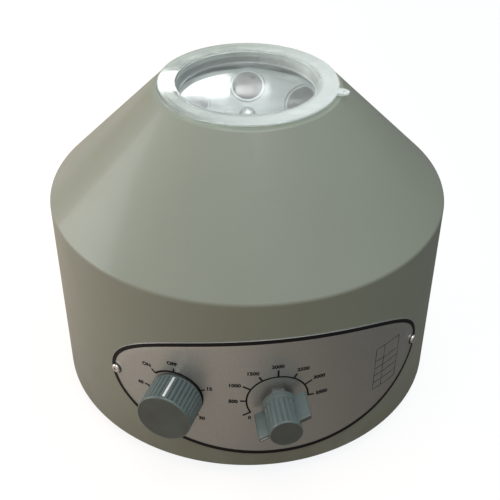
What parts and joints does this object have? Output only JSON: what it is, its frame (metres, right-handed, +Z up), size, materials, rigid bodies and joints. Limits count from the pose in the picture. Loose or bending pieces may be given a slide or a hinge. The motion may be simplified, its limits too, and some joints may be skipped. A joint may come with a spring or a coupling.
{
  "type": "bench centrifuge",
  "caption": "Low-speed bench centrifuge: a round cone-topped housing with an angle rotor of tube sleeves, a clear lift-off lid, and a timer and a speed dial on a curved panel.",
  "frame": {"origin": "the housing's axis at bench level, the centre of the circle of feet", "axes": "+Z up, -Y the front with the speed dial, +X to the right seen from the front"},
  "size_m": [0.26, 0.2938, 0.2149],
  "materials": {
    "housing_paint": "satin grey-green paint",
    "panel_silver": "satin, printed in black",
    "clear_lid": "clear, polished",
    "black_rubber": "matte",
    "grey_rubber": "matte",
    "zinc_steel": "bright zinc",
    "bowl_steel": "satin",
    "bearing_steel": "ground",
    "rotor_cast": "cast and turned",
    "sleeve_aluminium": "bright",
    "sink_aluminium": "as cast",
    "can_paint": "dark enamel",
    "core_steel": "laminated",
    "copper_wire": "enamelled",
    "brush_brass": "satin",
    "carbon": "matte",
    "knob_plastic": "grey-teal, satin",
    "dark_plastic": "matte",
    "board_green": "lacquered",
    "capacitor_case": "gloss",
    "terminal_case": "matte",
    "fuse_glass": "clear tube with bright caps"
  },
  "bodies": {
    "housing": {"base_nuts": "zinc_steel", "base_plate": "zinc_steel", "base_screws": "zinc_steel", "board_screws": "zinc_steel", "board_spacers": "zinc_steel", "bowl_pillars": "zinc_steel", "brush_holders": "brush_brass", "brushes": "carbon", "chamber_bowl": "bowl_steel", "control_board": "board_green", "control_panel": "panel_silver", "cord_gland": "dark_plastic", "damper_nuts": "zinc_steel", "damper_studs": "zinc_steel", "field_coils": "copper_wire", "foot_screws": "zinc_steel", "fuse": "fuse_glass", "fuse_clips": "zinc_steel", "gland_nut": "dark_plastic", "heat_sink": "sink_aluminium", "mains_capacitor": "capacitor_case", "motor_bearings": "bearing_steel", "motor_can": "can_paint", "motor_dampers": "black_rubber", "motor_lower_bell": "sink_aluminium", "motor_plate": "zinc_steel", "motor_screws": "zinc_steel", "motor_upper_bell": "sink_aluminium", "mouth_gasket": "grey_rubber", "outer_shell": "housing_paint", "panel_screws": "zinc_steel", "pillar_screws": "zinc_steel", "potentiometer": "dark_plastic", "potentiometer_nut": "zinc_steel", "rubber_feet": "black_rubber", "shaft_boot": "black_rubber", "stator_core": "core_steel", "terminal_block": "terminal_case", "timer_case": "dark_plastic", "timer_screws": "zinc_steel", "triac": "dark_plastic"},
    "lid": {"lid": "clear_lid"},
    "rotor": {"angle_rotor": "rotor_cast", "tube_sleeves": "sleeve_aluminium", "sleeve_cushions": "black_rubber", "rotor_washer": "zinc_steel", "rotor_nut": "zinc_steel", "drive_collar": "bearing_steel", "collar_set_screw": "zinc_steel", "motor_shaft": "bearing_steel", "armature_core": "core_steel", "armature_windings": "copper_wire", "commutator": "copper_wire", "cooling_fan": "dark_plastic"},
    "timer_dial": {"timer_knob": "knob_plastic", "timer_shaft": "bearing_steel"},
    "speed_dial": {"speed_knob": "knob_plastic", "speed_shaft": "bearing_steel"}
  },
  "joints": [
    {"name": "lid_lift", "type": "slide", "parent": "housing", "child": "lid", "axis": [0, 0, 1], "range_m": [0, 0.15]},
    {"name": "rotor_spin", "type": "hinge", "parent": "housing", "child": "rotor", "pos_m": [0, 0, 0.15], "axis": [0, 0, 1], "continuous": true},
    {"name": "timer_turn", "type": "hinge", "parent": "housing", "child": "timer_dial", "pos_m": [-0.06009, -0.11618, 0.0656], "axis": [0.4594, 0.8882, 0], "range_deg": [-45, 270]},
    {"name": "speed_turn", "type": "hinge", "parent": "housing", "child": "speed_dial", "pos_m": [0, -0.1308, 0.0676], "axis": [0, 1, 0], "range_deg": [0, 210]}
  ]
}
